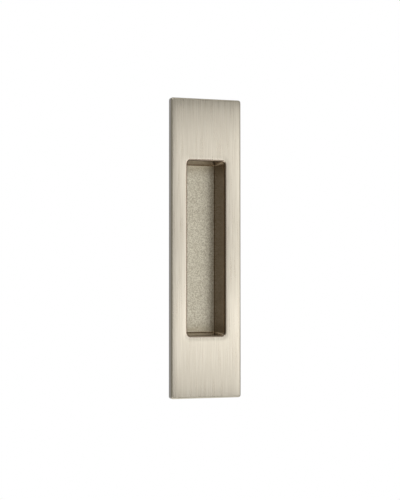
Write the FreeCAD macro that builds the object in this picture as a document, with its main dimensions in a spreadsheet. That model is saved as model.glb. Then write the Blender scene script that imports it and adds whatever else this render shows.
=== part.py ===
"""Flush pull for a sliding pocket door: a rectangular face plate with a drafted finger recess.

The pull is one casting, so it is one solid. Lengths are millimetres and angles are degrees.
+Z runs up the length of the plate, -Y is the side that faces the room, and +Y runs into the door.
The origin is the middle of the plate's rear face, which is the face that seats on the door.
"""
import FreeCAD
import Part
import math
import os
import Sketcher

NODE = "flush_pull"

# Driving sizes: name, value and what it measures.
SIZES = (
    ("plate_height", 177.8, "face plate, top to bottom"),
    ("plate_width", 44.45, "face plate, side to side"),
    ("plate_thickness", 4.0, "face plate, front face to rear seat"),
    ("plate_corner_radius", 1.5, "corners of the plate's outline"),
    ("plate_edge_radius", 1.0, "rounding round the plate's front edge"),
    ("opening_height", 103.9, "recess mouth, end wall to end wall at the front face"),
    ("opening_width", 24.0, "recess mouth, side wall to side wall at the front face"),
    ("recess_depth", 13.4, "front face to recess floor"),
    ("recess_draft", 7.0, "lean of the recess walls, in degrees"),
    ("rim_radius", 1.0, "rounding where the walls meet the front face"),
    ("floor_corner_radius", 0.5, "corners of the recess at its floor"),
    ("floor_fillet", 0.4, "fillet between the walls and the floor"),
    ("cup_wall", 2.2, "wall of the cup beside the recess"),
    ("floor_thickness", 2.5, "wall of the cup behind the recess floor"),
    ("cup_root_fillet", 1.0, "fillet between the cup and the plate's rear face"),
    ("cup_back_radius", 1.2, "rounding round the back of the cup"),
)

# How far a point may stand off a plane and still be on it.
ON_PLANE = 1e-4
MM3_IN_CM3 = 1000.0

# The recess narrows by this much on each side between the front face and its floor.
WALL_LEAN = "Sizes.recess_depth * tan(Sizes.recess_draft * 1 deg)"
MOUTH_CORNER = f"Sizes.floor_corner_radius + {WALL_LEAN}"

# The cup follows the recess wall at a constant distance, from the plate's rear face to the cup's back.
SEAT_LEAN = "Sizes.plate_thickness * tan(Sizes.recess_draft * 1 deg)"
CUP_WIDTH = f"Sizes.opening_width + 2 * Sizes.cup_wall - 2 * ({SEAT_LEAN})"
CUP_HEIGHT = f"Sizes.opening_height + 2 * Sizes.cup_wall - 2 * ({SEAT_LEAN})"
CUP_CORNER = f"{MOUTH_CORNER} + Sizes.cup_wall - {SEAT_LEAN}"
CUP_DEPTH = "Sizes.recess_depth + Sizes.floor_thickness - Sizes.plate_thickness"


def add_sizes(doc):
    """Put every driving size in a sheet cell of its own, named by an alias."""
    sheet = doc.addObject("Spreadsheet::Sheet", "Sizes")
    for row, (alias, value, meaning) in enumerate(SIZES, start=1):
        sheet.set(f"A{row}", meaning)
        sheet.set(f"B{row}", str(value))
        sheet.setAlias(f"B{row}", alias)
    doc.recompute()
    return sheet


def plane_of(body, role):
    """The body's own origin plane with this role."""
    return next(item for item in body.Origin.OriginFeatures if item.Role == role)


def add_outline(body, name, width, height, corner, forward="0"):
    """Sketch a rounded rectangle about the origin, upright in the plate's plane.

    The sizes are expressions, and so is forward, its distance from the rear face towards the room.
    """
    sketch = body.newObject("Sketcher::SketchObject", name)
    sketch.AttachmentSupport = (plane_of(body, "XZ_Plane"), [""])
    sketch.MapMode = "FlatFace"
    sketch.setExpression("AttachmentOffset.Base.z", forward)

    half_width = sketch.evalExpression(width) / 2
    half_height = sketch.evalExpression(height) / 2
    radius = sketch.evalExpression(corner)
    across = half_width - radius
    along = half_height - radius
    corners = ((across, -along), (across, along), (-across, along), (-across, -along))
    starts = ((-across, -half_height), (half_width, -along), (across, half_height), (-half_width, along))
    ends = ((across, -half_height), (half_width, along), (-across, half_height), (-half_width, -along))
    normal = FreeCAD.Vector(0, 0, 1)
    for side, ((x, y), start, end) in enumerate(zip(corners, starts, ends)):
        turn = (side - 1) * math.pi / 2
        circle = Part.Circle(FreeCAD.Vector(x, y, 0), normal, radius)
        sketch.addGeometry(Part.LineSegment(FreeCAD.Vector(*start, 0), FreeCAD.Vector(*end, 0)))
        sketch.addGeometry(Part.ArcOfCircle(circle, turn, turn + math.pi / 2))

    # Lines have even numbers and arcs odd ones, in turn from the bottom line.
    start_point, end_point, centre = 1, 2, 3
    bottom, right, top, left = 0, 2, 4, 6
    arcs = (1, 3, 5, 7)
    count = sketch.GeometryCount
    for item in range(count):
        following = (item + 1) % count
        sketch.addConstraint(Sketcher.Constraint("Tangent", item, end_point, following, start_point))
    for line in (bottom, top):
        sketch.addConstraint(Sketcher.Constraint("Horizontal", line))
    for line in (left, right):
        sketch.addConstraint(Sketcher.Constraint("Vertical", line))
    for arc in arcs[1:]:
        sketch.addConstraint(Sketcher.Constraint("Equal", arcs[0], arc))
    origin = (-1, start_point)
    sketch.addConstraint(Sketcher.Constraint("Symmetric", arcs[0], centre, arcs[2], centre, *origin))

    sizes = (
        ("width", width, ("DistanceX", left, start_point, right, start_point, 2 * half_width)),
        ("height", height, ("DistanceY", bottom, start_point, top, start_point, 2 * half_height)),
        ("corner", corner, ("Radius", arcs[0], radius)),
    )
    for label, expression, constraint in sizes:
        index = sketch.addConstraint(Sketcher.Constraint(*constraint))
        sketch.renameConstraint(index, label)
        sketch.setExpression(f"Constraints.{label}", expression)
    return sketch


def add_feature(body, kind, name, sketch, length, draft=None, into_door=False):
    """Pad or pocket a sketch by an expression, with an optional draft in degrees."""
    feature = body.newObject(f"PartDesign::{kind}", name)
    feature.Profile = sketch
    feature.Reversed = into_door
    feature.setExpression("Length", length)
    if draft:
        feature.setExpression("TaperAngle", draft)
    body.Document.recompute()
    return feature


def edges_at(feature, depth, half_width):
    """Names of the edges that lie flat at this depth and within half_width of the middle."""
    names = []
    for number, edge in enumerate(feature.Shape.Edges, start=1):
        box = edge.BoundBox
        flat = abs(box.YMin - depth) < ON_PLANE and abs(box.YMax - depth) < ON_PLANE
        if flat and max(-box.XMin, box.XMax) < half_width + ON_PLANE:
            names.append(f"Edge{number}")
    return names


def add_rounding(body, name, base, radius, depth, half_width):
    """Round the loop of edges at one depth of the base feature."""
    fillet = body.newObject("PartDesign::Fillet", name)
    fillet.Base = (base, edges_at(base, depth, half_width))
    fillet.setExpression("Radius", radius)
    body.Document.recompute()
    return fillet


def build_pull(doc, sheet):
    """The casting: plate, cup, recess and the roundings between them."""
    body = doc.addObject("PartDesign::Body", "FlushPull")
    body.Label = NODE
    front = -float(sheet.plate_thickness)
    floor = front + float(sheet.recess_depth)
    cup_back = floor + float(sheet.floor_thickness)
    plate_half = float(sheet.plate_width) / 2
    mouth_half = float(sheet.opening_width) / 2
    cup_half = mouth_half + float(sheet.cup_wall)

    outline = add_outline(body, "PlateOutline", "Sizes.plate_width", "Sizes.plate_height",
                          "Sizes.plate_corner_radius")
    plate = add_feature(body, "Pad", "Plate", outline, "Sizes.plate_thickness")
    plate = add_rounding(body, "FrontEdge", plate, "Sizes.plate_edge_radius", front, plate_half)

    outline = add_outline(body, "CupOutline", CUP_WIDTH, CUP_HEIGHT, CUP_CORNER)
    cup = add_feature(body, "Pad", "Cup", outline, CUP_DEPTH, "-Sizes.recess_draft", into_door=True)
    cup = add_rounding(body, "CupRoot", cup, "Sizes.cup_root_fillet", 0.0, cup_half)
    cup = add_rounding(body, "CupBack", cup, "Sizes.cup_back_radius", cup_back, cup_half)

    outline = add_outline(body, "RecessOutline", "Sizes.opening_width", "Sizes.opening_height",
                          MOUTH_CORNER, forward="Sizes.plate_thickness")
    recess = add_feature(body, "Pocket", "Recess", outline, "Sizes.recess_depth", "-Sizes.recess_draft")
    removed = cup.Shape.Volume - recess.Shape.Volume
    recess = add_rounding(body, "Rim", recess, "Sizes.rim_radius", front, mouth_half)
    add_rounding(body, "FloorFillet", recess, "Sizes.floor_fillet", floor, mouth_half)

    mouth_area = float(sheet.opening_width) * float(sheet.opening_height)
    print(f"recess takes out {removed / MM3_IN_CM3:.2f} cm3")
    if not 0 < removed < mouth_area * float(sheet.recess_depth):
        raise RuntimeError("the recess doesn't cut into the plate and narrow towards its floor")
    return body


def check(doc, bodies):
    """Stop unless every object was recomputed and every body is one valid solid."""
    for item in doc.Objects:
        if "Invalid" in item.State or "Error" in item.State:
            raise RuntimeError(f"{item.Name} failed: {item.State}")
    for body in bodies:
        shape = body.Shape
        if shape.isNull() or not shape.isValid() or len(shape.Solids) != 1:
            raise RuntimeError(f"{body.Label} isn't one valid solid")


def main():
    doc = FreeCAD.newDocument("FlushPull")
    sheet = add_sizes(doc)
    bodies = [build_pull(doc, sheet)]
    doc.recompute()
    check(doc, bodies)
    os.makedirs("parts", exist_ok=True)
    for body in bodies:
        body.Shape.exportStep(f"parts/{body.Label}.step")
        box = body.Shape.BoundBox
        print(f"{body.Label}: {body.Shape.Volume / MM3_IN_CM3:.2f} cm3,"
              f" X {box.XMin:.2f} to {box.XMax:.2f}, Y {box.YMin:.2f} to {box.YMax:.2f},"
              f" Z {box.ZMin:.2f} to {box.ZMax:.2f}")


main()
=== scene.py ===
# %% [markdown]
# # A flush pull for a pocket door
#
# The real object is a single casting: a slim face plate around a finger recess, with the back of the
# recess standing out behind as a cup that sinks into the door. It is brass under satin nickel. The face
# is brushed along its length, the recess walls are smooth, and the recess floor keeps the sandy skin of
# its mould.
#
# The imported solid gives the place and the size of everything, so it is loaded first and never moved.

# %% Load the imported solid
import math

import bmesh
import bpy
import numpy as np
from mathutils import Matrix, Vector


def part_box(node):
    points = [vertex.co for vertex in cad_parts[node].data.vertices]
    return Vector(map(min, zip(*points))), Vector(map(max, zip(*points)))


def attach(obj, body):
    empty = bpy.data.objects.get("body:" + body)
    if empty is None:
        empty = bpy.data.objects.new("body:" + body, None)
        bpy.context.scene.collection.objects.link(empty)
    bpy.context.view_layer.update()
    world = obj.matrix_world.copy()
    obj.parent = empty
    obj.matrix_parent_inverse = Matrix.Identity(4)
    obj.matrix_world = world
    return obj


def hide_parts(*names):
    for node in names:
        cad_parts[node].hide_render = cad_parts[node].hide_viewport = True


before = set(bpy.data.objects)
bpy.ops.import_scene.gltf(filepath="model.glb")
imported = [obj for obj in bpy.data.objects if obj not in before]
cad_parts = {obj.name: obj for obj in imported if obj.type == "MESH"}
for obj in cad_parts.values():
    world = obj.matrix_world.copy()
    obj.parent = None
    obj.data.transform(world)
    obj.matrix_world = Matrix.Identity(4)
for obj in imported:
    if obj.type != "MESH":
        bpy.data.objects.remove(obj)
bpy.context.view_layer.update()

MM = 0.001
low, high = (np.array(corner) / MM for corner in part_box("flush_pull"))
print("solid, mm:", np.round(low, 2), "to", np.round(high, 2))

# %% [markdown]
# ## The sizes of the casting
#
# The box of the solid gives the plate's width and height, its front and the back of the cup. The other
# sizes are those that the casting was drawn with, in millimetres.
#
# The last three are finer than the solid. Brushing on a soft belt rolls the face off slightly beside its
# long edges and round the mouth, and that crown makes the brushed bands shade from one side to the other.
# At the two short ends the roll-off is wider and much shallower. The rear edge of the plate has a small
# break, as every edge does that came out of a mould.

# %% Sizes in millimetres
front, back = low[1], high[1]
plate_half = np.array([high[0], high[2]])
PLATE_CORNER = 1.5
EDGE_RADIUS = 1.0
MOUTH_HALF = np.array([12.0, 51.95])
DEPTH = 13.4
DRAFT = math.radians(7.0)
RIM_RADIUS = 1.0
FLOOR_CORNER = 0.5
FLOOR_FILLET = 0.4
CUP_WALL = 2.2
CUP_ROOT = 1.0
CUP_BACK = 1.2
CROWN_WIDTH, CROWN_DROP = 3.2, 0.17
END_WIDTH, END_DROP = 6.0, 0.03
REAR_BREAK = 0.12

floor = front + DEPTH
mouth_corner = FLOOR_CORNER + DEPTH * math.tan(DRAFT)
print(f"mouth corner {mouth_corner:.2f} mm, recess floor at y = {floor:.2f} mm")

# %% [markdown]
# ## Loops round a rounded rectangle
#
# Every edge of the casting follows a rounded rectangle, and all those of the plate, or all those of the
# recess, share the same corner centres. So a loop can be a plain rectangle of anchors, each pushed
# outwards by the loop's corner radius. A cube with bevels would be quicker, but it gives no hold on the
# draft of the walls, and its quads don't follow the roundings as evenly as loops do.

# %% Anchors and loops
CORNER_STEPS = 8
QUARTER = math.pi / 2


def anchors(across, along):
    """Anchor points and outward directions round a rectangle, starting along its bottom.

    across and along are the rising positions of the points on its straight sides.
    """
    left, right, bottom, top = across[0], across[-1], along[0], along[-1]
    sides = (
        [(x, bottom) for x in across],
        [(right, z) for z in along],
        [(x, top) for x in across[::-1]],
        [(left, z) for z in along[::-1]],
    )
    points, angles = [], []
    for turn, side in enumerate(sides):
        facing = (turn - 1) * QUARTER
        points += side + [side[-1]] * (CORNER_STEPS - 1)
        angles += [facing] * len(side)
        angles += [facing + step * QUARTER / CORNER_STEPS for step in range(1, CORNER_STEPS)]
    return np.array(points), np.stack([np.cos(angles), np.sin(angles)], axis=1)


def loop(ring, radius, y):
    """A closed loop at one depth: the anchors pushed out by radius, ending on the first point again."""
    points, outward = ring
    flat = points + radius * outward
    flat = np.vstack([flat, flat[:1]])
    return np.stack([flat[:, 0], np.full(len(flat), y), flat[:, 1]], axis=1)


MOUTH_STEPS = (14, 71)
mouth_core = MOUTH_HALF - mouth_corner
mouth_across = np.linspace(-mouth_core[0], mouth_core[0], MOUTH_STEPS[0] + 1)
mouth_along = np.linspace(-mouth_core[1], mouth_core[1], MOUTH_STEPS[1] + 1)
mouth_ring = anchors(mouth_across, mouth_along)
print("points in a recess loop:", len(mouth_ring[0]))

# %% [markdown]
# The plate's loops need more points than the recess's, because the plate runs on past it. Their middle
# points stand straight above and beside those of the recess, so that the rows of quads on the face run
# true. The spacing tightens towards both edges of a band, where the crown bends.

# %% Anchors of the plate
STRIP_STEPS = 14
PANEL_STEPS = 26
HALF_CORNER = CORNER_STEPS // 2
mouth_edge = mouth_corner + RIM_RADIUS * math.tan((QUARTER - DRAFT) / 2)


def eased(start, end, steps):
    """Positions from start to end, closer together at both ends."""
    return start + (end - start) * (1 - np.cos(np.linspace(0, math.pi, steps + 1))) / 2


def side_positions(core, reach, steps):
    """Positions along a plate side: a margin, the points that face the recess, and the other margin."""
    bend = mouth_edge * np.sin(np.linspace(0, QUARTER / 2, HALF_CORNER + 1))[1:]
    middle = np.concatenate([core[0] - bend[::-1], core, core[-1] + bend])
    margin = eased(middle[-1], reach, steps)[1:]
    return np.concatenate([-margin[::-1], middle, margin])


plate_core = plate_half - PLATE_CORNER
plate_across = side_positions(mouth_across, plate_core[0], STRIP_STEPS)
plate_along = side_positions(mouth_along, plate_core[1], PANEL_STEPS)
plate_ring = anchors(plate_across, plate_along)
print("points in a plate loop:", len(plate_ring[0]))

# %% [markdown]
# ## The side of the plate
#
# The plate's side is short and square, with a rounding of one millimetre at its front edge. A rounding is
# part of a circle in section, so it is a short run of loops. Each patch of skin goes into a list with the
# finish that it has on the real object, and all of them become one closed mesh further down. A bevel
# would round the edge too, but the roll-off of the face, added later, has to run on over these loops.

# %% Side and front rounding of the plate
BRUSHED, TUMBLED, WALL, SAND, CAST = range(5)
BREAK_STEPS, SIDE_STEPS, ROUND_STEPS = 3, 4, 10
patches = []


def add_bands(ring, rows, finish):
    """Keep the bands between loops, given as (radius, depth) rows."""
    patches.append((np.array([loop(ring, radius, y) for radius, y in rows]), finish))


def arc(centre_radius, centre_y, radius, start, end, steps):
    """Rows on a circular arc.

    Angle 0 points away from the middle of the plate, and a quarter turn points into the door.
    """
    turns = np.linspace(start, end, steps + 1)
    return [(centre_radius + radius * math.cos(turn), centre_y + radius * math.sin(turn)) for turn in turns]


edge_y = front + EDGE_RADIUS
plate_edge = PLATE_CORNER - EDGE_RADIUS
rear_rows = arc(PLATE_CORNER - REAR_BREAK, -REAR_BREAK, REAR_BREAK, QUARTER, 0, BREAK_STEPS)
side_rows = [(PLATE_CORNER, y) for y in np.linspace(-REAR_BREAK, edge_y, SIDE_STEPS + 1)]
edge_rows = arc(plate_edge, edge_y, EDGE_RADIUS, 0, -QUARTER, ROUND_STEPS)
for rows in (rear_rows, side_rows, edge_rows):
    add_bands(plate_ring, rows, TUMBLED)
print("bands on the side:", sum(len(points) - 1 for points, finish in patches))

# %% [markdown]
# ## The rim and the walls of the recess
#
# The walls lean in by seven degrees, so that the casting comes out of its mould. They roll over into the
# face with a soft rim that fingers can pull on, and meet the floor in a tight fillet. Because the walls
# lean, a loop's corner radius shrinks with depth, and one function gives it for every loop. Scaling the
# mouth down would lean the walls too, but the short ones more than the long ones.

# %% Rim, walls and floor fillet
WALL_STEPS, FILLET_STEPS = 8, 6


def wall_radius(y, outset=0.0):
    """Corner radius of the recess wall at a depth, or of a wall that stands outside it."""
    return mouth_corner + outset - (y - front) * math.tan(DRAFT)


fillet_y = floor - FLOOR_FILLET
fillet_centre = wall_radius(fillet_y) - FLOOR_FILLET / math.cos(DRAFT)
rim_rows = arc(mouth_edge, front + RIM_RADIUS, RIM_RADIUS, -QUARTER, DRAFT - math.pi, ROUND_STEPS)
fillet_rows = arc(fillet_centre, fillet_y, FLOOR_FILLET, DRAFT, QUARTER, FILLET_STEPS)
wall_depths = np.linspace(rim_rows[-1][1], fillet_rows[0][1], WALL_STEPS + 1)
wall_rows = [(wall_radius(y), y) for y in wall_depths]
for rows in (rim_rows, wall_rows, fillet_rows):
    add_bands(mouth_ring, rows, WALL)
print(f"wall from y = {wall_rows[0][1]:.2f} to {wall_rows[-1][1]:.2f} mm")

# %% [markdown]
# ## The outside of the cup
#
# Behind the plate, the casting keeps one wall thickness, so the cup is the recess again, a little larger.
# It grows out of the plate with a fillet and is rounded at its back, which helps it into the hole in the
# door. Thickening the recess with a Solidify modifier would give the wall, but not these two roundings.

# %% Root, sides and heel of the cup
CUP_STEPS = 6
heel_y = back - CUP_BACK
root_centre = wall_radius(CUP_ROOT, CUP_WALL) + CUP_ROOT / math.cos(DRAFT)
heel_centre = wall_radius(heel_y, CUP_WALL) - CUP_BACK / math.cos(DRAFT)
root_rows = arc(root_centre, CUP_ROOT, CUP_ROOT, -QUARTER, DRAFT - math.pi, FILLET_STEPS)
heel_rows = arc(heel_centre, heel_y, CUP_BACK, DRAFT, QUARTER, FILLET_STEPS)
cup_depths = np.linspace(root_rows[-1][1], heel_rows[0][1], CUP_STEPS + 1)
cup_rows = [(wall_radius(y, CUP_WALL), y) for y in cup_depths]
for rows in (root_rows, cup_rows, heel_rows):
    add_bands(mouth_ring, rows, CAST)
print(f"cup from y = 0 to {heel_rows[-1][1]:.2f} mm")

# %% [markdown]
# ## Faces with a hole in them
#
# The front face and the rear seat are both a plate-shaped loop with a recess-shaped loop inside. One big
# face with a hole would shade badly once it is crowned. So four bands join the straight sides, and four
# corner patches fill in between. A corner patch is a Coons patch: it blends its four border curves, and
# so it meets its neighbours point for point.

# %% A Coons patch


def coons(lower, upper, left, right):
    """Grid between four border curves; lower and upper run the same way, and so do left and right."""
    u = np.linspace(0, 1, len(lower))[None, :, None]
    v = np.linspace(0, 1, len(left))[:, None, None]
    rows = (1 - v) * lower[None] + v * upper[None]
    columns = (1 - u) * left[:, None] + u * right[:, None]
    ends = (1 - v) * ((1 - u) * lower[0] + u * lower[-1]) + v * ((1 - u) * upper[0] + u * upper[-1])
    return rows + columns - ends


def stretch(closed, start, count):
    """count + 1 points of a closed loop, from one index onwards."""
    ring = closed[:-1]
    return ring[np.arange(start, start + count + 1) % len(ring)]


heel = loop(mouth_ring, heel_rows[-1][0], back)
runs = []
start = -HALF_CORNER
for turn in range(4):
    count = MOUTH_STEPS[turn % 2] + CORNER_STEPS
    runs.append(stretch(heel, start, count))
    start += count
patches.append((coons(runs[0], runs[2][::-1], runs[3][::-1], runs[1]), CAST))
print("the flat back of the cup is such a patch too:", patches[-1][0].shape[:2], "points")

# %% [markdown]
# The loop that follows walks round the plate once. On each side it keeps the band between the mouth and
# the edge, and then the corner patch that joins this band to the next one.

# %% Front face and rear seat


def add_face(outer, inner, finish):
    """Keep the eight patches between a plate loop and a recess loop."""
    outer_start, inner_start = 0, 0
    for turn in range(4):
        margin, next_margin = (PANEL_STEPS, STRIP_STEPS) if turn % 2 else (STRIP_STEPS, PANEL_STEPS)
        outer_side = len((plate_across, plate_along)[turn % 2]) - 1
        inner_side = MOUTH_STEPS[turn % 2]
        facing = stretch(inner, inner_start - HALF_CORNER, inner_side + CORNER_STEPS)
        opposite = stretch(outer, outer_start + margin, inner_side + CORNER_STEPS)
        along = eased(0, 1, next_margin + HALF_CORNER)[:, None]
        across = eased(0, 1, margin + HALF_CORNER)[:, None]
        patches.append((facing + along[:, None] * (opposite - facing), finish))

        next_start = outer_start + outer_side + CORNER_STEPS
        border = stretch(outer, outer_start + outer_side - margin, margin + CORNER_STEPS + next_margin)
        lower = facing[-1] + across * (border[-1] - facing[-1])
        left = facing[-1] + along * (border[0] - facing[-1])
        middle = margin + HALF_CORNER
        patches.append((coons(lower, border[:middle + 1], left, border[middle:][::-1]), finish))
        outer_start = next_start
        inner_start += inner_side + CORNER_STEPS


add_face(loop(plate_ring, plate_edge, front), loop(mouth_ring, mouth_edge, front), BRUSHED)
add_face(loop(plate_ring, rear_rows[0][0], 0.0), loop(mouth_ring, root_rows[0][0], 0.0), CAST)
print("patches so far:", len(patches))

# %% [markdown]
# ## The crown of the face
#
# A soft belt presses harder near an edge, so the brushed face falls away by less than a fifth of a
# millimetre over the last few millimetres. It runs off the short ends along its lines, and they lose only
# a few hundredths. On metal even that is plain to see, because a slight tilt mirrors another part of the
# room. Moving the points by their distance from the edge shapes the face exactly where a bevel would have
# to be guessed.

# %% Roll the face off
# Past the edge, down the rounding, the roll-off goes on growing up to this share.
PAST_EDGE = 1.2


def distance_outside(points, core, radius):
    """Distance in the plate's plane from a rounded rectangle, negative inside it."""
    past = np.abs(points[..., [0, 2]]) - core
    return np.linalg.norm(np.maximum(past, 0), axis=-1) + np.minimum(past.max(axis=-1), 0) - radius


def crowned(points):
    """Points of the front skin, rolled off beside the edges and the mouth and fading down the roundings."""
    beside_edge, beside_end = np.moveaxis(plate_core + plate_edge - np.abs(points[..., [0, 2]]), -1, 0)
    beside_mouth = distance_outside(points, mouth_core, mouth_edge)
    rolled = points.copy()
    for distance, radius, width, drop in (
        (beside_edge, EDGE_RADIUS, CROWN_WIDTH, CROWN_DROP),
        (beside_end, EDGE_RADIUS, END_WIDTH, END_DROP),
        (beside_mouth, RIM_RADIUS, CROWN_WIDTH, CROWN_DROP),
    ):
        fade = np.clip(1 - (points[..., 1] - front) / radius, 0, 1)
        rolled[..., 1] += fade * drop * np.clip(1 - distance / width, 0, PAST_EDGE) ** 2
    return rolled


patches = [(crowned(points), finish) for points, finish in patches]
face_depths = np.concatenate([points[..., 1].ravel() for points, finish in patches if finish == BRUSHED])
print(f"face rolls off by up to {face_depths.max() - front:.2f} mm")

# %% [markdown]
# ## The sandy recess floor
#
# A sand mould prints its grains on the metal, and nothing reaches in to smooth them off. The grains are
# about half a millimetre across and a few hundredths high. A bump map would give their shading alone, but
# here they are real relief: a fine grid whose points move by seeded noise, so that the exported mesh has
# them too.

# %% Floor grid with its grains
FINE = 4
GRAIN_HEIGHT = 0.05
GRAIN_SEED = 7
# Grains of more than this many standard deviations are cut off.
GRAIN_LIMIT = 2
CENTRE_WEIGHT = 4


def blurred(field):
    """Average each point with its neighbours along both directions."""
    for axis in (0, 1):
        neighbours = np.roll(field, 1, axis) + np.roll(field, -1, axis)
        field = (neighbours + CENTRE_WEIGHT * field) / (CENTRE_WEIGHT + 2)
    return field


fine_across = np.linspace(-mouth_core[0], mouth_core[0], MOUTH_STEPS[0] * FINE + 1)
fine_along = np.linspace(-mouth_core[1], mouth_core[1], MOUTH_STEPS[1] * FINE + 1)
x, z = np.meshgrid(fine_across, fine_along)
grains = blurred(np.random.default_rng(GRAIN_SEED).normal(size=x.shape))
grains = GRAIN_HEIGHT * np.clip(grains / grains.std(), -GRAIN_LIMIT, GRAIN_LIMIT) / GRAIN_LIMIT
grains[[0, -1], :] = 0.0
grains[:, [0, -1]] = 0.0
sand_grid = np.stack([x, floor - grains, z], axis=-1)
patches.append((sand_grid, SAND))
print("floor grid:", grains.shape, "points, grains up to", round(float(np.abs(grains).max()), 3), "mm")

# %% [markdown]
# The grid is four times as fine as the loops round it. A ring of flat faces joins the two: each has one
# edge of the fillet on its outer side and four edges of the grid on its inner side, and the corners are
# small fans.

# %% Ring between the grid and the fillet
grid_sides = (sand_grid[0], sand_grid[:, -1], sand_grid[-1, ::-1], sand_grid[::-1, 0])
outline = loop(mouth_ring, fillet_rows[-1][0], floor)
ring_faces = []
at = 0
for grid_side, steps in zip(grid_sides, MOUTH_STEPS * 2):
    for step in range(steps):
        inner = grid_side[step * FINE:(step + 1) * FINE + 1]
        ring_faces.append([*outline[at:at + 2], *inner[::-1]])
        at += 1
    for step in range(CORNER_STEPS):
        ring_faces.append([*outline[at:at + 2], grid_side[-1]])
        at += 1
print("faces in the ring:", len(ring_faces))

# %% [markdown]
# ## One closed skin
#
# The patches share their border points, so welding them leaves one closed skin, as the casting is one
# piece. An object for each finish would be simpler, but open along its borders. The skin's texture
# coordinates are the plate's own millimetres, seen along whichever axis a face looks. They tell the
# brushed finish which way is across the lines.

# %% Weld the patches
WELD = 0.0001 * MM
PLATE_MAP = "plate_millimetres"
MM3_IN_CM3 = 1000

bm = bmesh.new()
for points, finish in patches:
    rows = [[bm.verts.new(point) for point in row] for row in points * MM]
    for upper, lower in zip(rows, rows[1:]):
        for corners in zip(upper, upper[1:], lower[1:], lower):
            bm.faces.new(corners).material_index = finish
for points in ring_faces:
    bm.faces.new([bm.verts.new(point * MM) for point in points]).material_index = SAND
bmesh.ops.remove_doubles(bm, verts=bm.verts, dist=WELD)
bmesh.ops.recalc_face_normals(bm, faces=bm.faces)

millimetres = bm.loops.layers.uv.new(PLATE_MAP)
for face in bm.faces:
    face.smooth = True
    looks_along = max(range(3), key=lambda axis: abs(face.normal[axis]))
    kept = [axis for axis in range(3) if axis != looks_along]
    for corner in face.loops:
        corner[millimetres].uv = [corner.vert.co[axis] / MM for axis in kept]
volume = bm.calc_volume() / MM ** 3 / MM3_IN_CM3
print(f"{len(bm.verts)} points, {len(bm.faces)} faces, volume {volume:.2f} cm3")
print("open edges:", sum(not edge.is_manifold for edge in bm.edges))

# %% [markdown]
# The skin now takes the place of the solid in the picture. It rides on the part's only body.

# %% The casting as an object
casting_mesh = bpy.data.meshes.new("pull_casting")
bm.to_mesh(casting_mesh)
bm.free()
casting = bpy.data.objects.new("pull_casting", casting_mesh)
bpy.context.scene.collection.objects.link(casting)
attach(casting, "root")
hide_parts("flush_pull")
print("dimensions, mm:", [round(side / MM, 2) for side in casting.dimensions])

# %% [markdown]
# ## Finishes
#
# Every surface is nickel plate, but the brass under it was worked in five ways: brushed, tumbled,
# polished, sand cast and left as cast. So there are five materials, all shades of the same nickel.
# Colours are written as sRGB hex values, the way that a picture shows them, and a function turns them
# into the linear values that Blender wants. Sizes and reliefs stay in millimetres.

# %% Colour and node helpers


def linear(hex_colour):
    """Linear colour with full alpha from an sRGB hex value, by the sRGB curve."""
    channels = [int(hex_colour[place:place + 2], 16) / 255 for place in (1, 3, 5)]
    return [c / 12.92 if c <= 0.04045 else ((c + 0.055) / 1.055) ** 2.4 for c in channels] + [1.0]


def add_node(tree, kind, settings=None, inputs=None):
    """Add a node with its settings; an input takes a value, or the output socket that feeds it."""
    node = tree.nodes.new(kind)
    for name, value in (settings or {}).items():
        setattr(node, name, value)
    for name, value in (inputs or {}).items():
        if isinstance(value, bpy.types.NodeSocket):
            tree.links.new(value, node.inputs[name])
        else:
            node.inputs[name].default_value = value
    return node


def new_tree(owner):
    """The empty node tree of a new material or world."""
    owner.use_nodes = True
    owner.node_tree.nodes.clear()
    return owner.node_tree


# A Mix node keeps its colour sockets under these numbers.
MIX_SHARE, MIX_A, MIX_B, MIX_RESULT = 0, 6, 7, 2
NICKEL = "#D3CCBB"
print("nickel, linear:", [round(channel, 3) for channel in linear(NICKEL)])

# %% [markdown]
# ### Brushed satin nickel
#
# A belt drew fine parallel lines up the whole face before it was plated. They spread a reflection
# sideways into a broad band and leave it narrow along the plate, which is what anisotropy does in the
# shader. Lines of a belt are about a twentieth of a millimetre wide. That is too fine to show at this
# size, so they are drawn 0.5 mm wide, as the bundles that the eye picks out. Modelled grooves would need
# millions of faces, so a noise that is drawn out along the plate makes them. To the eye they give a silky
# grain, a sheen that slides across the face, and no sharp reflection.

# %% Brushed face
LINE_WIDTH = 0.5
LINE_LENGTH = 25.0
LINE_RELIEF = 0.0015
LINE_DARK, LINE_LIGHT = "#C6BEAF", "#DED7C9"
LINE_LOW, LINE_HIGH = 0.25, 0.75
LINE_ROUGHNESS = (0.27, 0.29)
BRUSH_ANISOTROPY = 0.85

brushed = bpy.data.materials.new("brushed_satin_nickel")
tree = new_tree(brushed)
place = add_node(tree, "ShaderNodeTexCoord")
drawn_out = add_node(tree, "ShaderNodeMapping", inputs={
    "Vector": place.outputs["Object"],
    "Scale": (1 / (LINE_WIDTH * MM), 1 / (LINE_WIDTH * MM), 1 / (LINE_LENGTH * MM)),
})
lines = add_node(tree, "ShaderNodeTexNoise", inputs={
    "Vector": drawn_out.outputs["Vector"], "Scale": 1.0, "Detail": 1.0, "Roughness": 0.6})
line_share = add_node(tree, "ShaderNodeMapRange", inputs={
    "Value": lines.outputs["Fac"], "From Min": LINE_LOW, "From Max": LINE_HIGH})
line_tone = add_node(tree, "ShaderNodeMix", {"data_type": "RGBA"}, {
    MIX_SHARE: line_share.outputs["Result"], MIX_A: linear(LINE_DARK), MIX_B: linear(LINE_LIGHT)})
line_gloss = add_node(tree, "ShaderNodeMapRange", inputs={
    "Value": line_share.outputs["Result"], "To Min": LINE_ROUGHNESS[0], "To Max": LINE_ROUGHNESS[1]})
relief = add_node(tree, "ShaderNodeBump", inputs={
    "Height": lines.outputs["Fac"], "Strength": 1.0, "Distance": LINE_RELIEF * MM})
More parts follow.
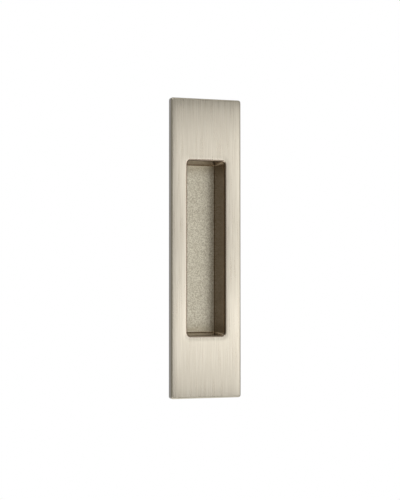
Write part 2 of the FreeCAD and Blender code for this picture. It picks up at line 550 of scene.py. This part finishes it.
across_lines = add_node(tree, "ShaderNodeTangent", {"direction_type": "UV_MAP", "uv_map": PLATE_MAP})
metal = add_node(tree, "ShaderNodeBsdfPrincipled", inputs={
    "Base Color": line_tone.outputs[MIX_RESULT],
    "Metallic": 1.0,
    "Roughness": line_gloss.outputs["Result"],
    "Anisotropic": BRUSH_ANISOTROPY,
    "Tangent": across_lines.outputs["Tangent"],
    "Normal": relief.outputs["Normal"],
})
add_node(tree, "ShaderNodeOutputMaterial", inputs={"Surface": metal.outputs["BSDF"]})
print(brushed.name, "nodes:", len(tree.nodes))

# %% [markdown]
# ### Tumbled edges
#
# The side of the plate is too narrow for the belt. It was only tumbled with stones before plating, which
# leaves a fine, even dimple with no direction. To the eye the edge is a soft grey line without sparkle.
# The dimples are drawn 0.8 mm wide, several times their real size, so that they show.

# %% Tumbled edge
DIMPLE_SIZE = 0.8
DIMPLE_RELIEF = 0.002
DIMPLE_LOW, DIMPLE_HIGH = 0.3, 0.7
DIMPLE_ROUGHNESS = (0.32, 0.36)

tumbled = bpy.data.materials.new("tumbled_satin_nickel")
tree = new_tree(tumbled)
place = add_node(tree, "ShaderNodeTexCoord")
dimples = add_node(tree, "ShaderNodeTexNoise", inputs={
    "Vector": place.outputs["Object"], "Scale": 1 / (DIMPLE_SIZE * MM), "Detail": 1.0})
dimple_gloss = add_node(tree, "ShaderNodeMapRange", inputs={
    "Value": dimples.outputs["Fac"], "From Min": DIMPLE_LOW, "From Max": DIMPLE_HIGH,
    "To Min": DIMPLE_ROUGHNESS[0], "To Max": DIMPLE_ROUGHNESS[1]})
relief = add_node(tree, "ShaderNodeBump", inputs={
    "Height": dimples.outputs["Fac"], "Strength": 1.0, "Distance": DIMPLE_RELIEF * MM})
metal = add_node(tree, "ShaderNodeBsdfPrincipled", inputs={
    "Base Color": linear(NICKEL),
    "Metallic": 1.0,
    "Roughness": dimple_gloss.outputs["Result"],
    "Normal": relief.outputs["Normal"],
})
add_node(tree, "ShaderNodeOutputMaterial", inputs={"Surface": metal.outputs["BSDF"]})
print(tumbled.name, "nodes:", len(tree.nodes))

# %% [markdown]
# ### Polished walls
#
# The walls of the recess were polished with a felt wheel and are the smoothest part. They mirror the dark
# side of the room, so they look bronze. Just under the rim and down in the crease at the floor, shade is
# painted into the wall's colour as two darker tones. Those two dark lines of painted shade outline the
# recess. A ramp over the depth draws them.

# %% Polished wall
# The rim and crease tones are painted shade, not the metal's own colour.
WALL_TONE, PAINTED_RIM_SHADE, PAINTED_CREASE_SHADE = "#CDBDAD", "#6E604C", "#82725C"
WALL_ROUGHNESS = 0.2
TONES_AND_PAINTED_SHADE_BY_DEPTH = (
    (0.3, WALL_TONE),
    (0.5, PAINTED_RIM_SHADE),
    (1.2, PAINTED_RIM_SHADE),
    (1.8, WALL_TONE),
    (12.5, WALL_TONE),
    (13.1, PAINTED_CREASE_SHADE),
)

polished = bpy.data.materials.new("polished_nickel_wall")
tree = new_tree(polished)
place = add_node(tree, "ShaderNodeTexCoord")
inwards = add_node(tree, "ShaderNodeSeparateXYZ", inputs={"Vector": place.outputs["Object"]})
depth_share = add_node(tree, "ShaderNodeMapRange", inputs={
    "Value": inwards.outputs["Y"], "From Min": front * MM, "From Max": floor * MM})
wall_tone = add_node(tree, "ShaderNodeValToRGB", inputs={"Fac": depth_share.outputs["Result"]})
stops = wall_tone.color_ramp.elements
while len(stops) < len(TONES_AND_PAINTED_SHADE_BY_DEPTH):
    stops.new(1.0)
for stop, (depth, tone) in zip(stops, TONES_AND_PAINTED_SHADE_BY_DEPTH):
    stop.position = depth / DEPTH
    stop.color = linear(tone)
metal = add_node(tree, "ShaderNodeBsdfPrincipled", inputs={
    "Base Color": wall_tone.outputs["Color"], "Metallic": 1.0, "Roughness": WALL_ROUGHNESS})
add_node(tree, "ShaderNodeOutputMaterial", inputs={"Surface": metal.outputs["BSDF"]})
print(polished.name, "tone stops, mm:", [round(stop.position * DEPTH, 2) for stop in stops])

# %% [markdown]
# ### Sand-cast floor
#
# The floor keeps the print of the mould sand under its plating. A noise of the grain's size of 0.6 mm
# mixes a darker and a lighter tone into a dry speckle with no reflection in it: painted shade and painted
# highlight standing in for the grains' own light and shade. Towards both ends of the floor, painted shade
# lowers the tone.

# %% Sand-cast floor
GRAIN_SIZE = 0.6
GRAIN_LOW, GRAIN_HIGH = 0.38, 0.62
# The darker and lighter speckle tones are painted shade and painted highlight of the grains.
SPECKLE_SHADE_TONE, SPECKLE_HIGHLIGHT_TONE, PAINTED_END_SHADE = "#B6AD9A", "#E1DCCB", "#94876C"
# The end tone and its share are painted shade towards both ends of the floor.
PAINTED_END_SHADE_SHARE = 0.5
END_START, END_FULL = 42.5, 50.4
SAND_ROUGHNESS = 0.39

sanded = bpy.data.materials.new("sand_cast_nickel")
tree = new_tree(sanded)
place = add_node(tree, "ShaderNodeTexCoord")
grain = add_node(tree, "ShaderNodeTexNoise", inputs={
    "Vector": place.outputs["Object"], "Scale": 1 / (GRAIN_SIZE * MM), "Detail": 2.0, "Roughness": 0.6})
grain_share = add_node(tree, "ShaderNodeMapRange", inputs={
    "Value": grain.outputs["Fac"], "From Min": GRAIN_LOW, "From Max": GRAIN_HIGH})
grain_tone = add_node(tree, "ShaderNodeMix", {"data_type": "RGBA"}, {
    MIX_SHARE: grain_share.outputs["Result"], MIX_A: linear(SPECKLE_SHADE_TONE), MIX_B: linear(SPECKLE_HIGHLIGHT_TONE)})
along = add_node(tree, "ShaderNodeSeparateXYZ", inputs={"Vector": place.outputs["Object"]})
reach = add_node(tree, "ShaderNodeMath", {"operation": "ABSOLUTE"}, {0: along.outputs["Z"]})
painted_end_shade_share = add_node(tree, "ShaderNodeMapRange", {"interpolation_type": "SMOOTHSTEP"}, {
    "Value": reach.outputs["Value"], "From Min": END_START * MM, "From Max": END_FULL * MM,
    "To Max": PAINTED_END_SHADE_SHARE})
floor_tone = add_node(tree, "ShaderNodeMix", {"data_type": "RGBA"}, {
    MIX_SHARE: painted_end_shade_share.outputs["Result"], MIX_A: grain_tone.outputs[MIX_RESULT], MIX_B: linear(PAINTED_END_SHADE)})
metal = add_node(tree, "ShaderNodeBsdfPrincipled", inputs={
    "Base Color": floor_tone.outputs[MIX_RESULT], "Metallic": 1.0, "Roughness": SAND_ROUGHNESS})
add_node(tree, "ShaderNodeOutputMaterial", inputs={"Surface": metal.outputs["BSDF"]})
print(sanded.name, "nodes:", len(tree.nodes))

# %% [markdown]
# ### As-cast back
#
# Nobody sees the back once the pull is in its door, so it is plated just as it came out of the mould. A
# mould skin is dull and gently uneven, like orange peel. To the eye it is a quiet matt grey. A soft noise
# of two millimetres makes the unevenness, in the tone, the relief and the gloss.

# %% As-cast back
PEEL_SIZE = 2.0
PEEL_RELIEF = 0.012
PEEL_DARK, PEEL_LIGHT = "#CEC7B6", "#D8D1C0"
PEEL_LOW, PEEL_HIGH = 0.3, 0.7
PEEL_ROUGHNESS = (0.46, 0.54)

as_cast = bpy.data.materials.new("as_cast_nickel")
tree = new_tree(as_cast)
place = add_node(tree, "ShaderNodeTexCoord")
peel = add_node(tree, "ShaderNodeTexNoise", inputs={
    "Vector": place.outputs["Object"], "Scale": 1 / (PEEL_SIZE * MM), "Detail": 2.0})
peel_share = add_node(tree, "ShaderNodeMapRange", inputs={
    "Value": peel.outputs["Fac"], "From Min": PEEL_LOW, "From Max": PEEL_HIGH})
peel_tone = add_node(tree, "ShaderNodeMix", {"data_type": "RGBA"}, {
    MIX_SHARE: peel_share.outputs["Result"], MIX_A: linear(PEEL_DARK), MIX_B: linear(PEEL_LIGHT)})
peel_gloss = add_node(tree, "ShaderNodeMapRange", inputs={
    "Value": peel_share.outputs["Result"], "To Min": PEEL_ROUGHNESS[0], "To Max": PEEL_ROUGHNESS[1]})
relief = add_node(tree, "ShaderNodeBump", inputs={
    "Height": peel.outputs["Fac"], "Strength": 1.0, "Distance": PEEL_RELIEF * MM})
metal = add_node(tree, "ShaderNodeBsdfPrincipled", inputs={
    "Base Color": peel_tone.outputs[MIX_RESULT],
    "Metallic": 1.0,
    "Roughness": peel_gloss.outputs["Result"],
    "Normal": relief.outputs["Normal"],
})
add_node(tree, "ShaderNodeOutputMaterial", inputs={"Surface": metal.outputs["BSDF"]})
print(as_cast.name, "nodes:", len(tree.nodes))

# %% [markdown]
# The faces already hold the number of their finish, so the materials only have to be added in the same
# order.

# %% Give the casting its finishes
for finish in (brushed, tumbled, polished, sanded, as_cast):
    casting_mesh.materials.append(finish)
print("finishes:", [material.name for material in casting_mesh.materials])

# %% [markdown]
# ## The room that the metal mirrors
#
# Metal has hardly any colour of its own: it shows the room. This one is a plain grey studio. It is
# darkest in front and to the left of the pull, which is the part that the walls of the recess mirror, and
# lightest behind it. A world that changes smoothly with direction does this without any visible stage.
# The levels stay well below white, so the lamps set the brightness of the face.

# %% Light of the room
DARK_SIDE = (-0.50, -0.866, 0.0)
DARK_CORE, DARK_REACH = 0.90, 0.42
DARK_LEVEL, ROOM_LEVEL = 0.165, 0.27
REAR_START, REAR_FULL, REAR_GAIN = 0.2, 0.9, 0.14
FRONT_TINT, REAR_TINT = "#FFFCF2", "#E4E7F7"

world = bpy.data.worlds.new("grey_studio")
bpy.context.scene.world = world
tree = new_tree(world)
place = add_node(tree, "ShaderNodeTexCoord")
towards_dark = add_node(tree, "ShaderNodeVectorMath", {"operation": "DOT_PRODUCT"}, {
    0: place.outputs["Generated"], 1: DARK_SIDE})
front_level = add_node(tree, "ShaderNodeMapRange", {"interpolation_type": "SMOOTHSTEP"}, {
    "Value": towards_dark.outputs["Value"], "From Min": DARK_CORE, "From Max": DARK_REACH,
    "To Min": DARK_LEVEL, "To Max": ROOM_LEVEL})
towards = add_node(tree, "ShaderNodeSeparateXYZ", inputs={"Vector": place.outputs["Generated"]})
behind = add_node(tree, "ShaderNodeMapRange", {"interpolation_type": "SMOOTHSTEP"}, {
    "Value": towards.outputs["Y"], "From Min": REAR_START, "From Max": REAR_FULL})
level = add_node(tree, "ShaderNodeMath", {"operation": "MULTIPLY_ADD"}, {
    0: behind.outputs["Result"], 1: REAR_GAIN, 2: front_level.outputs["Result"]})
tint = add_node(tree, "ShaderNodeMix", {"data_type": "RGBA"}, {
    MIX_SHARE: behind.outputs["Result"], MIX_A: linear(FRONT_TINT), MIX_B: linear(REAR_TINT)})
room = add_node(tree, "ShaderNodeBackground", inputs={
    "Color": tint.outputs[MIX_RESULT], "Strength": level.outputs["Value"]})
print("room nodes:", len(tree.nodes))

# %% [markdown]
# The pull was photographed before white paper. Lighting real paper up to white would flood the metal with
# light, so the camera's own rays see white instead, and so do rays through glass. The metal has to show
# the paper as well, but only where it hangs, behind the pull. A glossy ray therefore sees white in that
# direction alone.

# %% White paper behind the pull
PAPER_SIDE = (0.36, 0.93, 0.0)
PAPER_START, PAPER_FULL = 0.82, 0.94
WHITE = "#FFFFFF"

towards_paper = add_node(tree, "ShaderNodeVectorMath", {"operation": "DOT_PRODUCT"}, {
    0: place.outputs["Generated"], 1: PAPER_SIDE})
paper_share = add_node(tree, "ShaderNodeMapRange", {"interpolation_type": "SMOOTHSTEP"}, {
    "Value": towards_paper.outputs["Value"], "From Min": PAPER_START, "From Max": PAPER_FULL})
ray = add_node(tree, "ShaderNodeLightPath")
in_metal = add_node(tree, "ShaderNodeMath", {"operation": "MULTIPLY"}, {
    0: ray.outputs["Is Glossy Ray"], 1: paper_share.outputs["Result"]})
direct = add_node(tree, "ShaderNodeMath", {"operation": "MAXIMUM"}, {
    0: ray.outputs["Is Camera Ray"], 1: ray.outputs["Is Transmission Ray"]})
seen = add_node(tree, "ShaderNodeMath", {"operation": "MAXIMUM"}, {
    0: in_metal.outputs["Value"], 1: direct.outputs["Value"]})
white = add_node(tree, "ShaderNodeBackground", inputs={"Color": linear(WHITE), "Strength": 1.0})
shown = add_node(tree, "ShaderNodeMixShader", inputs={
    0: seen.outputs["Value"], 1: room.outputs["Background"], 2: white.outputs["Background"]})
add_node(tree, "ShaderNodeOutputWorld", inputs={"Surface": shown.outputs["Shader"]})
print("world nodes:", len(tree.nodes))

# %% [markdown]
# ## Softboxes
#
# A brushed face is bright where it mirrors a lamp, and its lines smear that lamp sideways. The camera
# stands to the left, so the main lamp stands to the right, at the mirror angle. It is tall enough for the
# middle of the face only. A strip below it lights the lower part, and a weaker strip above it lets the
# top fall off into grey. The others are plain fills for the right band, the recess floor and the left
# edge. A lamp overhead picks out the top edge and the lower rim, and two small ones, high and low, glint
# in the right corners of the mouth.
#
# A lamp's power depends on its size, so each one is given by its radiance, where 1 mirrors as white, and
# the power follows from that.

# %% Softboxes round the face
LAMP_DISTANCE = 1.0
plate_centre = Vector((0.0, front * MM, 0.0))


def around(azimuth, elevation, distance):
    """A point round the middle of the face; azimuth 0 is straight in front and turns to its right."""
    azimuth, elevation = math.radians(azimuth), math.radians(elevation)
    flat = distance * math.cos(elevation)
    offset = Vector((flat * math.sin(azimuth), -flat * math.cos(azimuth), distance * math.sin(elevation)))
    return plate_centre + offset


def aimed(location, target):
    """Rotation that turns a lamp or a camera at location to face target."""
    return (target - location).to_track_quat("-Z", "Y").to_euler()


# Name, azimuth and elevation in degrees, width and height in metres, radiance.
SOFTBOXES = (
    ("key_softbox", 26, 0.0, 0.52, 0.40, 1.02),
    ("low_strip", 26, -4.4, 0.52, 0.08, 0.87),
    ("high_strip", 26, 9.6, 0.52, 0.08, 0.60),
    ("right_softbox", 48, 0.0, 0.26, 0.40, 1.33),
    ("front_fill", 1, 1.0, 0.26, 0.40, 0.32),
    ("left_fill", -80, 0.0, 0.60, 0.90, 0.27),
    ("top_softbox", 22, 62, 0.80, 0.40, 0.75),
    ("high_glint", -7, 35, 0.20, 0.20, 6.0),
    ("low_glint", -7, -35, 0.20, 0.20, 6.0),
)
for name, azimuth, elevation, width, height, radiance in SOFTBOXES:
    lamp = bpy.data.lights.new(name, "AREA")
    lamp.shape = "RECTANGLE"
    lamp.size, lamp.size_y = width, height
    lamp.energy = radiance * math.pi * width * height
    softbox = bpy.data.objects.new(name, lamp)
    softbox.location = around(azimuth, elevation, LAMP_DISTANCE)
    softbox.rotation_euler = aimed(softbox.location, plate_centre)
    softbox.visible_camera = False
    bpy.context.scene.collection.objects.link(softbox)
    print(f"{name}: {lamp.energy:.3f} W")

# %% [markdown]
# ## The floor
#
# The pull hangs in front of the paper with nothing under it in the picture, so the floor lies well below
# and shows only from other angles. It is pale paper too. As in the world, the rays that see it directly
# get a little glow on top of its own light, and a shadow still shows on it because only the glow is even.

# %% Pale floor
FLOOR_DROP, FLOOR_RADIUS, FLOOR_SIDES = 0.45, 0.6, 64
PAPER, PAPER_GLOW, PAPER_ROUGHNESS = "#F0F0F0", 0.5, 0.9

floor_mesh = bpy.data.meshes.new("paper_floor")
bm = bmesh.new()
bmesh.ops.create_circle(bm, cap_ends=True, segments=FLOOR_SIDES, radius=FLOOR_RADIUS)
bm.to_mesh(floor_mesh)
bm.free()
paper_floor = bpy.data.objects.new("paper_floor", floor_mesh)
paper_floor.location.z = -FLOOR_DROP
bpy.context.scene.collection.objects.link(paper_floor)

paper = bpy.data.materials.new("matt_white_paper")
tree = new_tree(paper)
ray = add_node(tree, "ShaderNodeLightPath")
direct = add_node(tree, "ShaderNodeMath", {"operation": "MAXIMUM"}, {
    0: ray.outputs["Is Camera Ray"], 1: ray.outputs["Is Transmission Ray"]})
seen = add_node(tree, "ShaderNodeMath", {"operation": "MAXIMUM"}, {
    0: ray.outputs["Is Glossy Ray"], 1: direct.outputs["Value"]})
glow = add_node(tree, "ShaderNodeMath", {"operation": "MULTIPLY"}, {
    0: seen.outputs["Value"], 1: PAPER_GLOW})
sheet = add_node(tree, "ShaderNodeBsdfPrincipled", inputs={
    "Base Color": linear(PAPER),
    "Roughness": PAPER_ROUGHNESS,
    "Emission Color": linear(WHITE),
    "Emission Strength": glow.outputs["Value"],
})
add_node(tree, "ShaderNodeOutputMaterial", inputs={"Surface": sheet.outputs["BSDF"]})
floor_mesh.materials.append(paper)
print("floor at z =", paper_floor.location.z, "m")

# %% [markdown]
# ## The camera
#
# The photograph was taken from the left and almost level, with a fairly long lens. The angle, the
# distance and the focal length were fitted to the corners of the plate and of the mouth together. The
# focal length came out in pixels of the 500-pixel-high picture, so it is turned into millimetres on the
# sensor here. Blender lays the sensor's width along the longer side of a picture, which is the height of
# this one.

# %% Camera
VIEW_AZIMUTH, VIEW_DISTANCE, VIEW_RISE = -21.15, 0.857, -0.0234
AIM_RIGHT, AIM_UP = -0.0038, -0.0011
FOCAL_PIXELS, PHOTO_HEIGHT = 1444.9, 500

lens = bpy.data.cameras.new("camera")
lens.lens = lens.sensor_width * FOCAL_PIXELS / PHOTO_HEIGHT
camera = bpy.data.objects.new("camera", lens)
view_turn = math.radians(VIEW_AZIMUTH)
rightwards = Vector((math.cos(view_turn), math.sin(view_turn), 0.0))
aim = plate_centre + rightwards * AIM_RIGHT + Vector((0.0, 0.0, AIM_UP))
camera.location = around(VIEW_AZIMUTH, 0.0, VIEW_DISTANCE) + Vector((0.0, 0.0, VIEW_RISE))
camera.rotation_euler = aimed(camera.location, aim)
bpy.context.scene.collection.objects.link(camera)
bpy.context.scene.camera = camera
bpy.context.scene.view_settings.view_transform = "Standard"
print(f"lens {lens.lens:.1f} mm")
